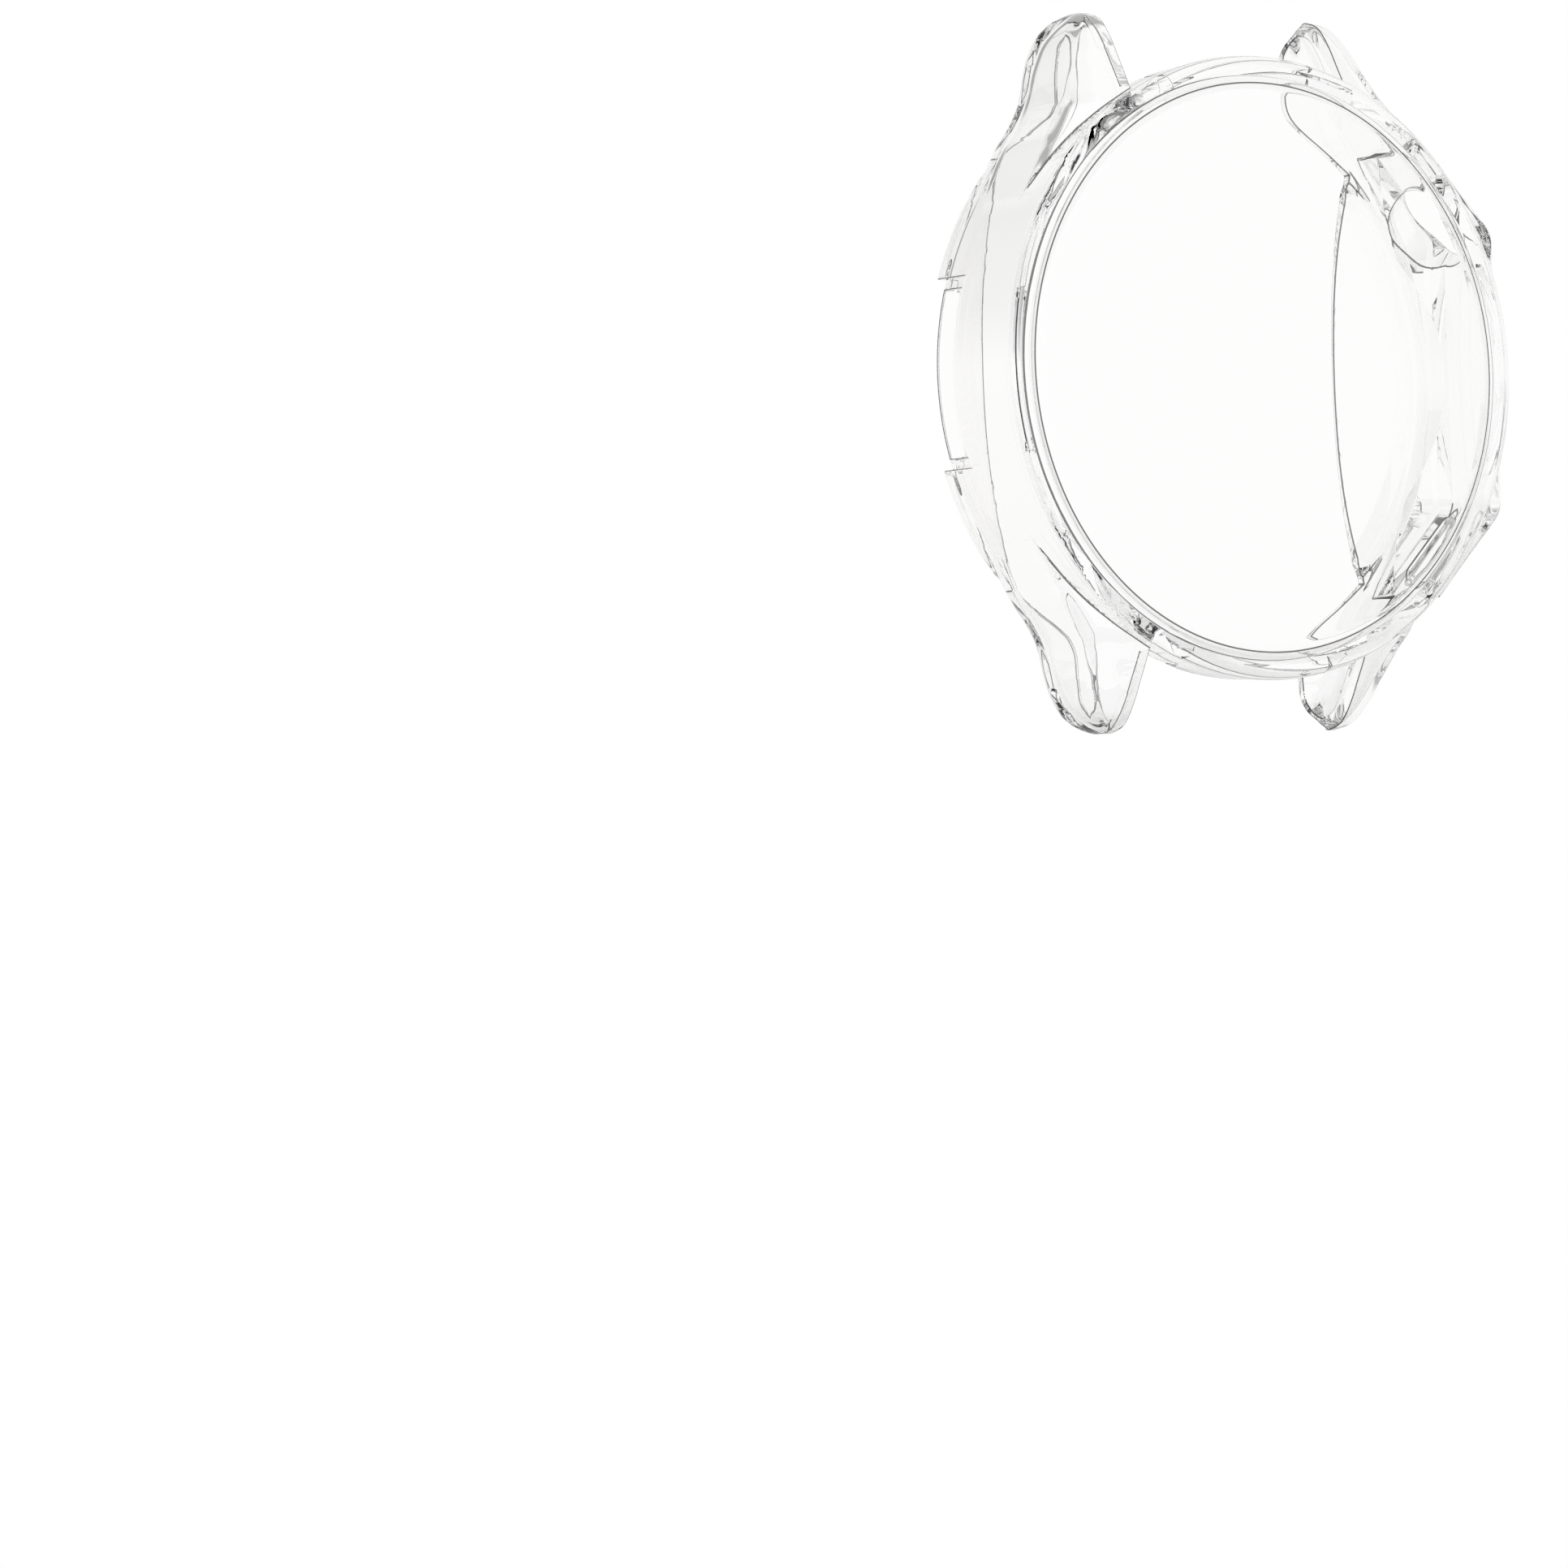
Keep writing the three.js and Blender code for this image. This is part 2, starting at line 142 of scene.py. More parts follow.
# Faceted guard on the crown side: a flat between two facets, set back by an angle
GUARD_R = WALL_R + 0.2
GUARD_HALF = GUARD_R * math.tan(math.radians(24.6))
GUARD_ANGLE = math.radians(44)
GUARD_FACET = 9.6
GUARD_FOOT = 9.6
GUARD_ROOT = 2.5
GUARD_CORNER = 0.9
GUARD_CORNER_STEPS = 6
GUARD_ROUNDING = 0.5
LUG_SEAM = GUARD_HALF + GUARD_FACET * math.cos(GUARD_ANGLE)

# The guard's hollow closes towards the rear along a slope: its start, end and run inwards
SLOPE_START = GUARD_FOOT - 3.2
SLOPE_END = HOLLOW_CORNER[0] - 0.3
SLOPE_RUN = 2.6

# Crown hole and button cover: places as (run along the facet, depth), then sizes
CROWN_SPOT = (2.6, 5.6)
CROWN_WIDTH = 7.1
CAP_SPOT = (4.4, 5.2)
CAP_LENGTH = 8.8
CAP_WIDTH = 3.6
CAP_RISE = 0.5
CAP_SINK = 0.6
CAP_ROUNDING = 0.35
CAP_POCKET = (8.0, 2.8)
BORE = 4

# Speaker slot and the step round it
SLOT_HALF = 6.65
SLOT_DEPTHS = (8.25, 10.65)
STEP_HALF = 7.55
STEP_TOP = 7.35
STEP_IN = 0.5
SLOT_INSIDE = -WATCH_R * math.cos(math.asin(STEP_HALF / WATCH_R)) + WALL

# How far cuts reach outwards and to the rear, past the case
FAR = LUG_REACH + 4
REAR_FAR = LIP_DEPTH + 4

QUARTER_TURN = np.linspace(0, math.pi / 2, 6)


# Meshes

def linked(name, data):
    obj = bpy.data.objects.new(name, data)
    bpy.context.scene.collection.objects.link(obj)
    return obj


def solid(name, verts, faces):
    mesh = bpy.data.meshes.new(name)
    mesh.from_pydata([tuple(v) for v in verts], [], [tuple(f) for f in faces])
    bm = bmesh.new()
    bm.from_mesh(mesh)
    bmesh.ops.remove_doubles(bm, verts=bm.verts, dist=1e-5)
    bmesh.ops.dissolve_degenerate(bm, dist=1e-6, edges=bm.edges)
    bmesh.ops.recalc_face_normals(bm, faces=bm.faces)
    bm.to_mesh(mesh)
    bm.free()
    return linked(name, mesh)


def grid_faces(rows, count, closed=False):
    """Faces between rows of count points each. Each row is a closed loop."""
    faces = []
    for j in range(rows if closed else rows - 1):
        a, b = j * count, ((j + 1) % rows) * count
        for i in range(count):
            k = (i + 1) % count
            faces.append((a + i, b + i, b + k, a + k))
    return faces


def turned(name, profile):
    """Revolves a closed (radius, depth) outline about the axis of the case."""
    prof = np.array(profile, float)
    angles = np.linspace(0, 2 * math.pi, TURN_STEPS, endpoint=False)
    verts = np.empty((TURN_STEPS, len(prof), 3))
    verts[:, :, 0] = np.cos(angles)[:, None] * prof[None, :, 0]
    verts[:, :, 1] = prof[None, :, 1]
    verts[:, :, 2] = np.sin(angles)[:, None] * prof[None, :, 0]
    return solid(name, verts.reshape(-1, 3), grid_faces(TURN_STEPS, len(prof), closed=True))


def lofted(name, sections):
    """Joins closed outlines of equal length into a solid, with a flat face at each end."""
    count = len(sections[0])
    faces = grid_faces(len(sections), count)
    faces.append(tuple(range(count)))
    faces.append(tuple((len(sections) - 1) * count + i for i in reversed(range(count))))
    return solid(name, np.array(sections, float).reshape(-1, 3), faces)


def pushed(name, outline, front, rear):
    """Extrudes an (x, z) outline between two depths."""
    return lofted(name, [[(x, d, z) for x, z in outline] for d in (front, rear)])


def block(name, lo, hi):
    outline = [(lo[0], lo[2]), (hi[0], lo[2]), (hi[0], hi[2]), (lo[0], hi[2])]
    return pushed(name, outline, lo[1], hi[1])


def flipped(obj, x=1, z=1):
    mesh = obj.data.copy()
    mesh.transform(Matrix.Diagonal((x, 1, z, 1)))
    if x * z < 0:
        mesh.flip_normals()
    return linked(obj.name + "_flipped", mesh)


def final_mesh(obj):
    """The object's mesh with its modifiers applied."""
    bpy.context.view_layer.update()
    evaluated = obj.evaluated_get(bpy.context.evaluated_depsgraph_get())
    return bpy.data.meshes.new_from_object(evaluated)


def combine(a, b, how):
    """Joins b to a, or cuts it out, and removes b."""
    modifier = a.modifiers.new("join", "BOOLEAN")
    modifier.operation = how
    modifier.solver = "MANIFOLD"
    modifier.object = b
    mesh = final_mesh(a)
    a.modifiers.clear()
    a.data = mesh
    bpy.data.objects.remove(b)
    return a


def bezier(points, steps):
    out = []
    for t in np.linspace(0, 1, steps + 1):
        level = [np.array(p, float) for p in points]
        while len(level) > 1:
            level = [level[i] * (1 - t) + level[i + 1] * t for i in range(len(level) - 1)]
        out.append(tuple(level[0]))
    return out


def smooth_table(values, at):
    """Monotone cubic through the values at the stations."""
    x, y = np.array(STATIONS, float), np.array(values, float)
    h, slope = np.diff(x), np.diff(y) / np.diff(x)
    m = np.zeros(len(x))
    m[0], m[-1] = slope[0], slope[-1]
    for i in range(1, len(x) - 1):
        if slope[i - 1] * slope[i] > 0:
            w1, w2 = 2 * h[i] + h[i - 1], h[i] + 2 * h[i - 1]
            m[i] = (w1 + w2) / (w1 / slope[i - 1] + w2 / slope[i])
    k = np.clip(np.searchsorted(x, at, side="right") - 1, 0, len(h) - 1)
    t = (at - x[k]) / h[k]
    return ((1 + 2 * t) * (1 - t) ** 2 * y[k] + t * (1 - t) ** 2 * h[k] * m[k]
            + t * t * (3 - 2 * t) * y[k + 1] + t * t * (t - 1) * h[k] * m[k + 1])


def rounded(corners, steps=5):
    """A closed outline whose corners (point, radius) are all rounded by the same count of points."""
    out = []
    for i, (point, radius) in enumerate(corners):
        p = np.array(point, float)
        before = np.array(corners[i - 1][0], float)
        after = np.array(corners[(i + 1) % len(corners)][0], float)
        a = p + (before - p) * min(radius / max(np.linalg.norm(before - p), 1e-9), 0.45)
        b = p + (after - p) * min(radius / max(np.linalg.norm(after - p), 1e-9), 0.45)
        out += bezier([a, p, b], steps)
    return out


# Shapes of the moulding

def round_body(name, radius, corner, root_depth, edge_depth):
    """A wall, a flat rear rim and a shallow dome inside it."""
    corner_depth, run = corner
    profile = [(0, 0), (0, edge_depth)]
    for share in np.linspace(0, 1, DOME_STEPS + 1):
        rise = (1 - share) * (1 + DOME_BEND * share)
        profile.append((LIP_CHORD + (LIP_ROOT_R - LIP_CHORD) * share,
                        root_depth + (edge_depth - root_depth) * rise))
    rim = corner_depth + (root_depth - corner_depth) * run / (radius - LIP_ROOT_R)
    profile += bezier([(radius - run, rim), (radius, corner_depth), (radius, corner_depth - run)],
                      CORNER_STEPS)
    profile.append((radius, 0))
    return turned(name, profile)


def outer_body(name, inset):
    depth, run = WALL_CORNER
    return round_body(name, WALL_R - inset, (depth - inset, run), LIP_ROOT - inset, LIP_DEPTH - inset)


def lug_hood(name, inset, rear_inset, strap_side, start_inset=0.0):
    """Hood over the upper right lug, or its hollow when set in by its walls, more so where it starts."""
    flare = math.sqrt(WALL_R ** 2 - FLARE_START ** 2) - STRAP_HALF
    at = np.linspace(0, 1, HOOD_STEPS + 1) ** HOOD_SPACING
    tables = [smooth_table(t, at) for t in (FRONT_SIDE, REAR_SIDE, DROP, LIFT, STRAP_EDGE)]
    sections = []
    for t, front_side, rear_side, drop, lift, edge in zip(at, *tables):
        z = FLARE_START + t * (LUG_REACH - inset - FLARE_START)
        side_inset = inset + start_inset * max(1 - t / POCKET_START_RUN, 0)
        fx = STRAP_HALF + flare * front_side - side_inset
        rx = STRAP_HALF + flare * rear_side - side_inset
        front = WALL_TOP + inset + LUG_DROP * drop
        rear = LUG_REAR - rear_inset - LUG_LIFT * lift
        height = rear - front
        rear_rounding = min(REAR_ROUNDING, (rx - strap_side) * REAR_ROUNDING_SHARE)
        outline = rounded([
            ((strap_side, front), 0),
            ((strap_side, front + height * edge), 0),
            ((rx, rear), rear_rounding),
            ((fx, front + height * SIDE_HEIGHT), SIDE_ROUNDING),
            ((fx - (fx - STRAP_HALF) * FRONT_WIDTH, front + height * FRONT_HEIGHT), FRONT_ROUNDING),
        ])
        sections.append([(x, d, z) for x, d in outline])
    return lofted(name, sections)


def guard(name, levels):
    """Faceted guard on the crown side, set in by an amount at each depth."""
    sections = []
    for depth, inset in levels:
        reach, half = GUARD_R - inset, GUARD_HALF - inset * math.tan(GUARD_ANGLE / 2)
        x = reach - GUARD_FACET * math.sin(GUARD_ANGLE)
        z = half + GUARD_FACET * math.cos(GUARD_ANGLE)
        outline = rounded([((x - GUARD_ROOT, -z), 0), ((x, -z), 0), ((reach, -half), GUARD_CORNER),
                           ((reach, half), GUARD_CORNER), ((x, z), 0), ((x - GUARD_ROOT, z), 0)],
                          GUARD_CORNER_STEPS)
        sections.append([(px, depth, pz) for px, pz in outline])
    return lofted(name, sections)


def facet_frame(run, side):
    """Place on a facet of the guard, with its outward and lengthwise directions."""
    place = np.array((GUARD_R - run * math.sin(GUARD_ANGLE), 0,
                      (GUARD_HALF + run * math.cos(GUARD_ANGLE)) * side))
    outward = np.array((math.cos(GUARD_ANGLE), 0, math.sin(GUARD_ANGLE) * side))
    along = np.array((-math.sin(GUARD_ANGLE), 0, math.cos(GUARD_ANGLE) * side))
    return place, outward, along


def facet_bar(name, size, spot, side, low, high, edge=0.0, steps=24):
    """Round-ended bar standing across a facet of the guard, between two heights over it."""
    length, width = size
    run, depth = spot
    place, outward, along = facet_frame(run, side)
    place = place + np.array((0, depth, 0))

    def loop(shrink):
        radius, straight = width / 2 - shrink, (length - width) / 2
        points = []
        for centre, start in ((straight, -90), (-straight, 90)):
            for a in np.radians(np.linspace(start, start + 180, steps + 1)):
                points.append((centre + radius * math.cos(a), radius * math.sin(a)))
        return points

    levels = [(low, 0), (high, 0)]
    if edge:
        levels[1:] = [(high - edge * (1 - math.sin(a)), edge * (1 - math.cos(a))) for a in QUARTER_TURN]
    return lofted(name, [[place + along * u + np.array((0, v, 0)) + outward * h for u, v in loop(s)]
                         for h, s in levels])


def in_four_quarters(obj):
    obj = combine(obj, flipped(obj, x=-1), "UNION")
    return combine(obj, flipped(obj, z=-1), "UNION")


def outer_form():
    """The case from outside, solid: body, relief for the lugs, lug guards and faceted guard."""
    body = outer_body("case_moulding", 0)
    relief_end = RELIEF_START + RELIEF_RUN
    side_cut = [(RELIEF_START, REAR_FAR)] + bezier(
        [(RELIEF_START, RELIEF_TOP), (RELIEF_START + RELIEF_CURVE, RELIEF_TOP),
         (relief_end - RELIEF_CURVE, LUG_REAR), (relief_end, LUG_REAR)], RELIEF_STEPS)
    side_cut += [(FAR, LUG_REAR), (FAR, REAR_FAR)]
    relief = lofted("relief", [[(x, d, z) for z, d in side_cut] for x in (-FAR, FAR)])
    body = combine(body, flipped(relief, z=-1), "DIFFERENCE")
    body = combine(body, relief, "DIFFERENCE")
    body = combine(body, in_four_quarters(lug_hood("hood", 0, 0, STRAP_HALF)), "UNION")
    arc = [(GUARD_ROUNDING * (1 - math.sin(a)), GUARD_ROUNDING * (1 - math.cos(a))) for a in QUARTER_TURN]
    levels = [(WALL_TOP + d, i) for d, i in arc[::-1]] + [(GUARD_FOOT - d, i) for d, i in arc]
    return combine(body, guard("guard", levels), "UNION")


def inner_form():
    """The hollow of the case: watch, lugs and faceted guard."""
    hollow = round_body("hollow", WATCH_R, HOLLOW_CORNER, LIP_ROOT - LIP_ROOT_T, LIP_DEPTH - LIP_EDGE)
    pocket = lug_hood("pocket", LUG_WALL, LUG_FLANGE, STRAP_HALF - POCKET_OPEN, POCKET_START_INSET)
    hollow = combine(hollow, in_four_quarters(pocket), "UNION")
    levels = [(WALL_TOP + WALL, WALL), (SLOPE_START, WALL), (SLOPE_END, WALL + SLOPE_RUN)]
    return combine(hollow, guard("guard_hollow", levels), "UNION")


def rear_mouth():
    """Cuts the back open between the lips, and the strap's way between the lug guards."""
    lead = (LIP_CHORD - SHOULDER_RUN * math.sin(SHOULDER_ANGLE),
            SHOULDER + SHOULDER_RUN * math.cos(SHOULDER_ANGLE))
    quarter = bezier([(LIP_CHORD, SHOULDER), lead, (STRAP_HALF, THROAT - THROAT_RUN),
                      (STRAP_HALF, THROAT)], MOUTH_STEPS)
    quarter.append((STRAP_HALF, FAR))
    outline = quarter + [(-x, z) for x, z in quarter[::-1]]
    outline += [(-x, -z) for x, z in quarter] + [(x, -z) for x, z in quarter[::-1]]
    return pushed("mouth", outline, SKIRT, REAR_FAR)


def ring_and_window():
    """The bead with the window inside it. Turned as one, they join the body the same way each run."""
    centre = RING_R - BEAD_R
    inner_rise = math.acos((RING_INNER - centre) / BEAD_R)
    arc = [(centre + BEAD_R * math.cos(a), -BEAD_R * math.sin(a))
           for a in np.linspace(BEAD_START, inner_rise, BEAD_POINTS)]
    bend = bezier([BEAD_FOOT, (WINDOW_BEND_R, -WINDOW_T), (WINDOW_FLAT_R, -WINDOW_T)], WINDOW_STEPS)
    seat = WATCH_R + SEAT_GAP
    return turned("ring", [(WALL_R - BEAD_OVERLAP, WALL_TOP)] + arc + bend
                  + [(0, -WINDOW_T), (0, 0), (seat, 0), (seat, WALL_TOP)])


def moulding():
    """The case as one closed solid, in millimetres."""
    body = combine(outer_form(), inner_form(), "DIFFERENCE")
    body = combine(body, rear_mouth(), "DIFFERENCE")

    step = block("step", (-FAR, STEP_TOP, -STEP_HALF), (SLOT_INSIDE, LIP_DEPTH, STEP_HALF))
    step = combine(step, outer_body("step_floor", STEP_IN), "DIFFERENCE")
    body = combine(body, step, "DIFFERENCE")
    slot = block("slot", (-FAR, SLOT_DEPTHS[0], -SLOT_HALF), (SLOT_INSIDE, SLOT_DEPTHS[1], SLOT_HALF))
    body = combine(body, slot, "DIFFERENCE")

    crown_hole = facet_bar("crown_hole", (CROWN_WIDTH, CROWN_WIDTH), CROWN_SPOT, 1, -BORE, BORE)
    body = combine(body, crown_hole, "DIFFERENCE")
    cap = facet_bar("cap", (CAP_LENGTH, CAP_WIDTH), CAP_SPOT, -1, -CAP_SINK, CAP_RISE, CAP_ROUNDING)
    body = combine(body, cap, "UNION")
    body = combine(body, facet_bar("cap_pocket", CAP_POCKET, CAP_SPOT, -1, -BORE, 0.0), "DIFFERENCE")

    return combine(body, ring_and_window(), "UNION")


# Soft edges. They carry the mesh's second material, clear plastic with painted shade that is nearly
# black, so that they show as thin dark lines. The faint ones keep the first material: inside the faceted
# guard, by height over the facet and depth, and at the speaker slot, by the depths of its front and rear
# edges.

PLAIN, SHADED_EDGE = 0, 1
MERGE_WITHIN = 0.04
FLAT_WITHIN = math.radians(0.3)
EDGE_WIDTH = 0.08
EDGE_SEGMENTS = 3
EDGE_ANGLE = math.radians(32)
EDGE_MARGIN = 0.3
STEP_MARGIN = 0.5
FAINT_SLOT = (7, 9, 11)
FAINT_HEIGHT = -0.6
FAINT_REAR = 9.8


def faint(centre):
    """Whether an edge here is one of the guard's or the speaker slot's edges that hardly show."""
    x, depth, z = centre
    if x < 0:
        front_low, front_high, rear_high = FAINT_SLOT
        front = front_low < depth < front_high
        rear_inside = front_high <= depth < rear_high and math.hypot(x, z) < WATCH_R + EDGE_MARGIN
        return abs(z) < STEP_HALF + STEP_MARGIN and (front or rear_inside)
    side = 1 if z > 0 else -1
    spot_run, spot_depth = CROWN_SPOT if side > 0 else CAP_SPOT
    place, outward, along = facet_frame(spot_run, side)
    offset = np.array((x, 0, z)) - place
    run = abs(offset @ along)
    if side > 0 and math.hypot(run, depth - spot_depth) < CROWN_WIDTH / 2 + EDGE_MARGIN:
        return False
    if side < 0 and run < CAP_LENGTH / 2 and abs(depth - spot_depth) < CAP_WIDTH / 2:
        return False
    behind_facet = offset @ outward < FAINT_HEIGHT and abs(z) < LUG_SEAM
    return behind_facet and WALL_TOP + EDGE_MARGIN < depth < FAINT_REAR


def softened(body):
    """Scales the moulding to metres and rounds its edges slightly.

    Points that lie close together are merged first, since short edges would fold the rounding.
    """
    bm = bmesh.new()
    bm.from_mesh(body.data)
    bmesh.ops.remove_doubles(bm, verts=bm.verts, dist=MERGE_WITHIN)
    bmesh.ops.dissolve_degenerate(bm, dist=MERGE_WITHIN, edges=bm.edges)
    bmesh.ops.dissolve_limit(bm, angle_limit=FLAT_WITHIN, verts=bm.verts, edges=bm.edges)
    bm.to_mesh(body.data)
    bm.free()
    body.data.transform(Matrix.Scale(MM, 4))
    body.data.shade_smooth()
    bevel = body.modifiers.new("edges", "BEVEL")
    bevel.width = EDGE_WIDTH * MM
    bevel.segments = EDGE_SEGMENTS
    bevel.limit_method = "ANGLE"
    bevel.angle_limit = EDGE_ANGLE
    bevel.use_clamp_overlap = False
    # The bevels take the second material, painted shade, so that the sharp edges show as dark lines.
    bevel.material = SHADED_EDGE
    mesh = final_mesh(body)
    body.modifiers.clear()
    body.data = mesh
    # Edges that hardly show lose the painted shade and go back to the plain plastic.
    for face in mesh.polygons:
        if face.material_index == SHADED_EDGE and faint(face.center / MM):
            face.material_index = PLAIN
    return body


# Division of the moulding into pieces. A lip is divided into five strips about its curved root:
# each has the bearing that it faces, and the bearings where it starts and ends, in degrees.

LIP_STRIPS = [(-30, -60, -22.5), (-15, -22.5, -7.5), (0, -7.5, 7.5), (15, 7.5, 22.5), (30, 22.5, 60)]
MIDDLE_STRIP = 3
LIP_FRONT = LIP_ROOT - LIP_ROOT_T - 0.1
LIP_CORNER = math.sqrt(LIP_ROOT_R ** 2 - LIP_CHORD ** 2)
REAR_PART = 10
REAR_PART_HALF = 18
LUG_FRONT = 0.75
LUG_INNER = STRAP_HALF - 0.1
CAP_FOOT = 0.06
CAP_MARGIN = 0.2
SHARP_ANGLE = math.radians(40)
FACE_WEIGHT = 90


def zone_of(centre):
    """Name of the piece that a face belongs to, from its centre in millimetres."""
    x, depth, z = centre
    radius = math.hypot(x, z)
    side = "right" if x > 0 else "left"
    if abs(z) > LUG_SEAM and abs(x) > LUG_INNER and depth > LUG_FRONT:
        return f"lug_guard_{'upper' if z > 0 else 'lower'}_{side}"
    if radius < LIP_ROOT_R and depth > LIP_FRONT:
        bearing = math.degrees(math.atan2(z, abs(x)))
        strip = next(i for i, (_, low, high) in enumerate(LIP_STRIPS) if low <= bearing < high)
        return f"rear_lip_{side}_{strip + 1}"
    place, outward, along = facet_frame(CAP_SPOT[0], -1)
    offset = np.array((x, 0, z)) - place
    beyond = max(abs(offset @ along) - (CAP_LENGTH - CAP_WIDTH) / 2, 0)
    from_cap = math.hypot(beyond, depth - CAP_SPOT[1])
    if offset @ outward > CAP_FOOT and from_cap < CAP_WIDTH / 2 + CAP_MARGIN:
        return "button_cover"
    return "case_moulding"


def cut_at(bm, point, normal, keep=None):
    """Cuts the faces along a plane, or only those whose centre passes the test."""
    faces = [f for f in bm.faces if keep is None or keep(f.calc_center_median() / MM)]
    parts = set(faces)
    for face in faces:
        parts.update(face.edges)
        parts.update(face.verts)
    bmesh.ops.bisect_plane(bm, geom=list(parts), dist=1e-8,
                           plane_co=Vector(point) * MM, plane_no=Vector(normal))


def cut_along_borders(bm):
    """Gives the mesh edges along every border between pieces, so that each face lies in one piece."""
    for sign in (1, -1):
        cut_at(bm, (0, 0, sign * LUG_SEAM), (0, 0, 1))
        cut_at(bm, (sign * LUG_INNER, 0, 0), (1, 0, 0), lambda c: abs(c.z) > LUG_SEAM)
        cut_at(bm, (0, 0, sign * LIP_CORNER), (0, 0, 1),
               lambda c: c.y > REAR_PART and abs(c.x) < REAR_PART_HALF)
    cut_at(bm, (0, LUG_FRONT, 0), (0, 1, 0), lambda c: abs(c.z) > LUG_SEAM and abs(c.x) > LUG_INNER)
    for _, start, _ in LIP_STRIPS[1:]:
        for sign in (1, -1):
            a = math.radians(start)
            cut_at(bm, (0, 0, 0), (-sign * math.sin(a), 0, math.cos(a)),
                   lambda c: c.y > REAR_PART and c.x * sign > 0 and math.hypot(c.x, c.z) < LIP_ROOT_R)
    place, outward, _ = facet_frame(CAP_SPOT[0], -1)
    cut_at(bm, place + outward * CAP_FOOT, outward,
           lambda c: (Vector((c.x, 0, c.z)) - Vector(place)).length < CAP_LENGTH
           and c.y < GUARD_FOOT and c.x > 0)


def divided(body):
    """Splits the moulding into one mesh per piece, each with the shading of the whole."""
    bm = bmesh.new()
    bm.from_mesh(body.data)
    cut_along_borders(bm)
    whole = bpy.data.meshes.new("whole")
    bm.to_mesh(whole)
    bm.free()
    whole.set_sharp_from_angle(angle=SHARP_ANGLE)
    shaded = linked("shaded", whole)
    shading = shaded.modifiers.new("shading", "WEIGHTED_NORMAL")
    shading.weight = FACE_WEIGHT
    shading.keep_sharp = True
    whole = final_mesh(shaded)
    bpy.data.objects.remove(shaded)

    points = np.array([v.co for v in whole.vertices])
    normals = np.array([n.vector for n in whole.corner_normals])
    groups = {}
    for face in whole.polygons:
        groups.setdefault(zone_of(face.center / MM), []).append(face)
    pieces = {}
    for name, faces in sorted(groups.items()):
        used = sorted({v for face in faces for v in face.vertices})
        index = {v: i for i, v in enumerate(used)}
        mesh = bpy.data.meshes.new(name)
        mesh.from_pydata(points[used].tolist(), [],
                         [[index[v] for v in face.vertices] for face in faces])
        mesh.shade_smooth()
        mesh.polygons.foreach_set("material_index", [face.material_index for face in faces])
        for material in body.data.materials:
            mesh.materials.append(material)
        mesh.normals_split_custom_set([tuple(normals[i]) for face in faces for i in face.loop_indices])
        pieces[name] = linked(name, mesh)
    bpy.data.objects.remove(body)
    return pieces


# Clear plastic: colour by slant, from 0 seen straight on to 1 seen edge on, a slight warm tint and
# painted shade near edge on; light that passes in shadows; tint of the plain faces; painted shade of the
# soft edges

REFRACTION = 1.49
# The first stops are a slight warm tint of the plastic; the dark stops past 0.8 are painted shade,
# drawing dark outlines where the plastic is seen nearly edge on.
SLANT_TINT_AND_SHADE = [(0, (1, 1, 1)), (0.45, (0.955, 0.951, 0.943)), (0.8, (0.9, 0.895, 0.885)),
                 (0.9, (0.5, 0.5, 0.49)), (1, (0.1, 0.1, 0.1))]
SHADOW_PASS = 0.93
PLAIN_TINT = 1.0
# Painted shade of the soft edges: their plastic is made nearly black.
EDGE_PAINTED_SHADE = 0.03


def ramp_node(tree, factor, stops):
    node = tree.nodes.new("ShaderNodeValToRGB")
    tree.links.new(factor, node.inputs[0])
    node.color_ramp.elements.remove(node.color_ramp.elements[1])
    for i, (position, colour) in enumerate(stops):
        stop = node.color_ramp.elements.new(position) if i else node.color_ramp.elements[0]
        stop.color = (*colour, 1)
    return node.outputs["Color"]


def clear_plastic(name, tint_and_shade):
    """Clear plastic scaled by the given factor, its own colour or painted shade for the soft edges; a
    little darker and warmer at a slant, and nearly black edge on, which is painted shade.
    """
    mat = bpy.data.materials.new(name)
    mat.use_nodes = True
    tree = mat.node_tree
    tree.nodes.clear()
    slant = tree.nodes.new("ShaderNodeLayerWeight")
    slant.inputs["Blend"].default_value = 0.5
    shader = tree.nodes.new("ShaderNodeBsdfPrincipled")
    shader.inputs["Roughness"].default_value = 0.0
    shader.inputs["IOR"].default_value = REFRACTION
    shader.inputs["Transmission Weight"].default_value = 1.0
    stops = [(at, tuple(part * tint_and_shade for part in colour)) for at, colour in SLANT_TINT_AND_SHADE]
    tree.links.new(ramp_node(tree, slant.outputs["Facing"], stops), shader.inputs["Base Color"])
    clear = tree.nodes.new("ShaderNodeBsdfTransparent")
    clear.inputs["Color"].default_value = (SHADOW_PASS, SHADOW_PASS, SHADOW_PASS, 1)
    path = tree.nodes.new("ShaderNodeLightPath")
    mix = tree.nodes.new("ShaderNodeMixShader")
    tree.links.new(path.outputs["Is Shadow Ray"], mix.inputs[0])
    tree.links.new(shader.outputs[0], mix.inputs[1])
    tree.links.new(clear.outputs[0], mix.inputs[2])
    out = tree.nodes.new("ShaderNodeOutputMaterial")
    tree.links.new(mix.outputs[0], out.inputs["Surface"])
    return mat


# The pieces, with the case moulding on its body

case = moulding()
case.data.materials.clear()
case.data.materials.append(clear_plastic("clear_tpu", PLAIN_TINT))
